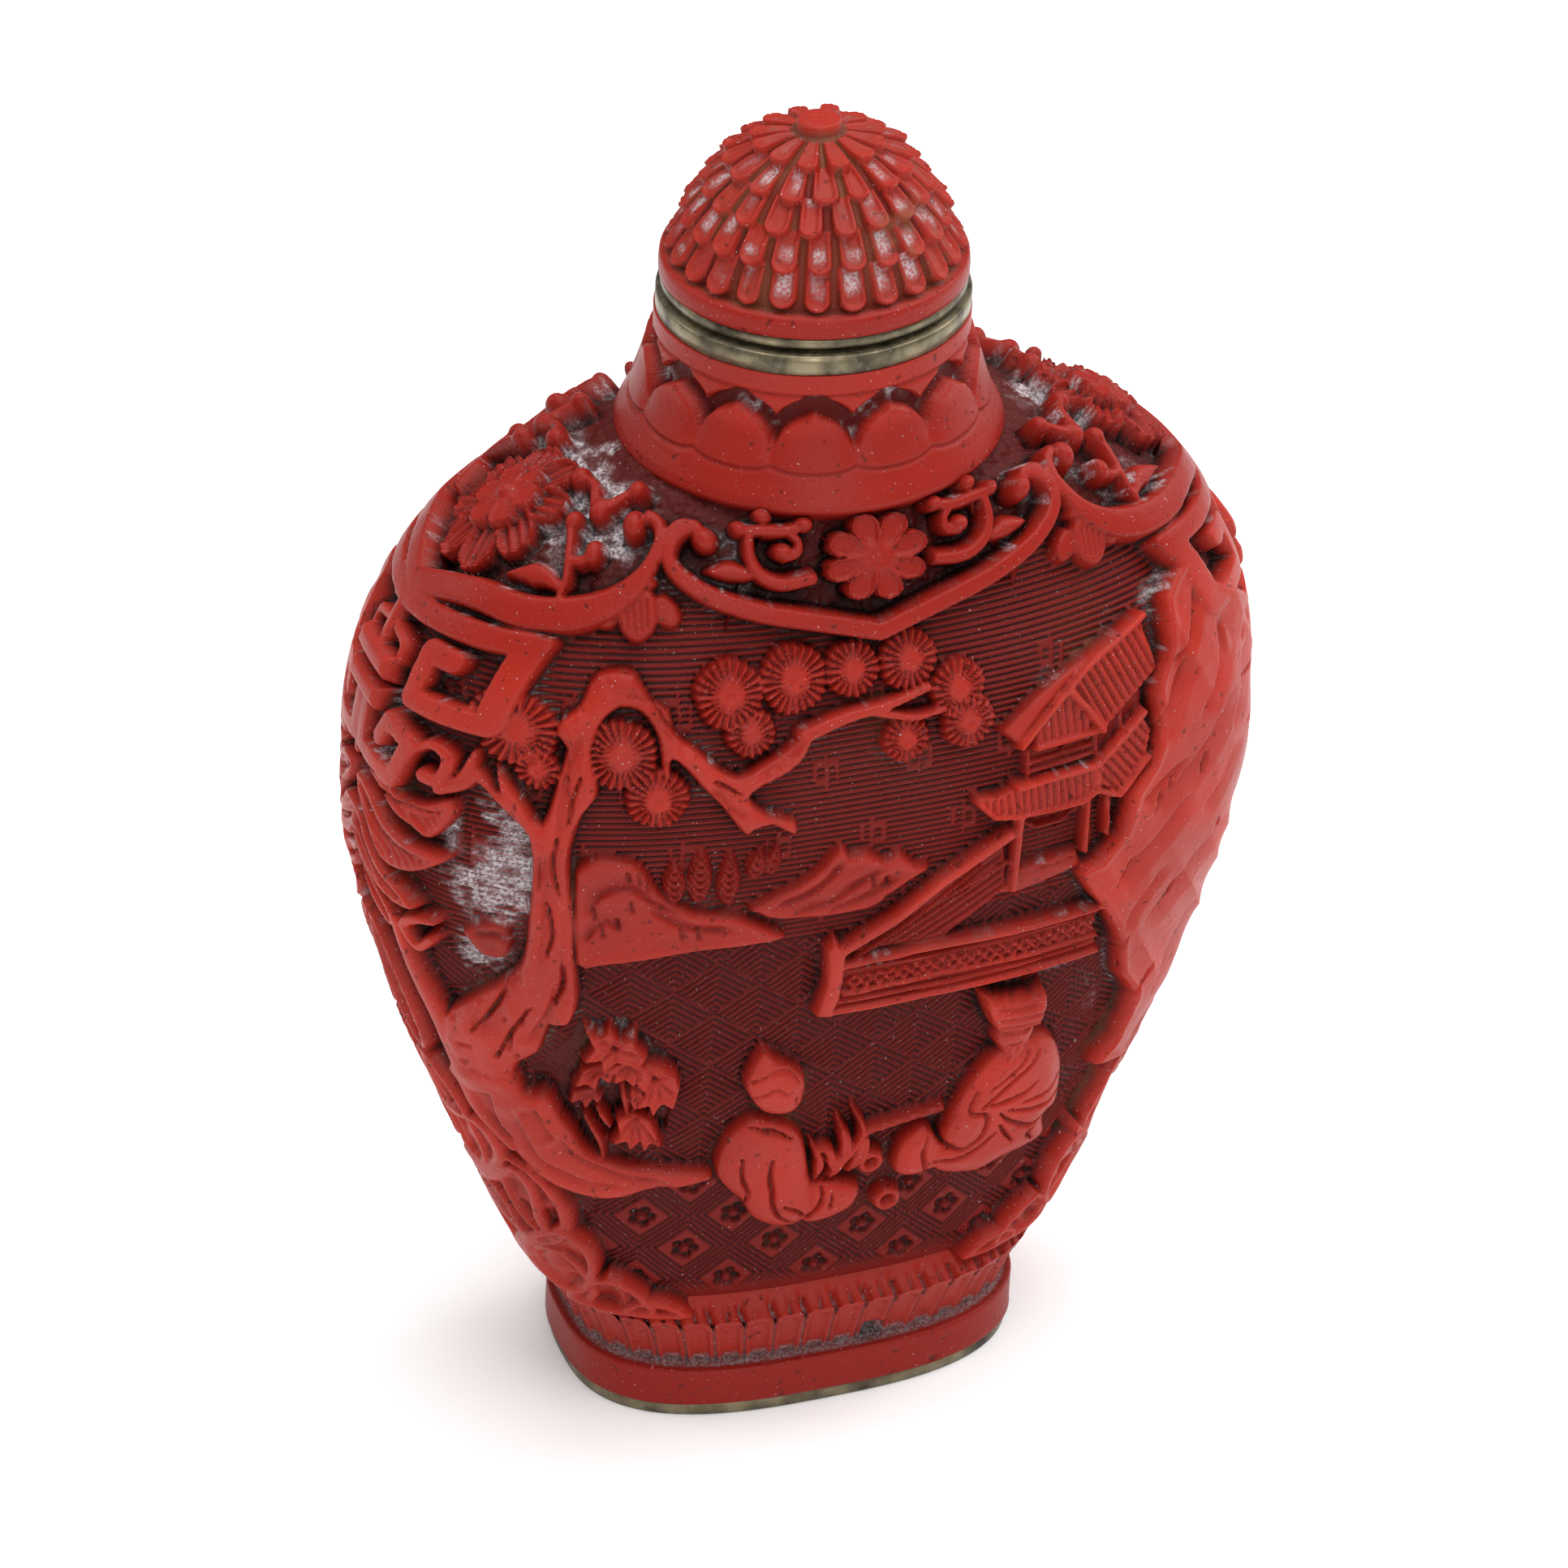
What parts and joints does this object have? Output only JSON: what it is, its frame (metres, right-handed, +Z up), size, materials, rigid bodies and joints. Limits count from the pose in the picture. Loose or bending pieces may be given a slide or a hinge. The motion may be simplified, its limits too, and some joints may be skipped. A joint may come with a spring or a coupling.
{
  "type": "snuff bottle",
  "caption": "Flattened high-shouldered snuff bottle carved all over in relief with a landscape, brass collar and foot plate, and a domed petal stopper that lifts off.",
  "frame": {"origin": "centre of the foot's underside, on the surface that the bottle stands on", "axes": "+Z up through the neck and stopper, -Y towards the carved front with the two people, +X towards the cliff at the right of that front"},
  "size_m": [0.0452, 0.0262, 0.0681],
  "materials": {
    "lacquer": "satin carved red lacquer, rubbed brighter on raised edges, dark and dusty in the hollows",
    "brass": "old sheet brass, grey-olive tarnish with rubbed edges"
  },
  "bodies": {
    "root": {"bottle": "lacquer", "foot_plate": "brass", "neck_collar": "brass", "stopper_plate": "brass", "stopper_dome": "lacquer"}
  },
  "joints": []
}
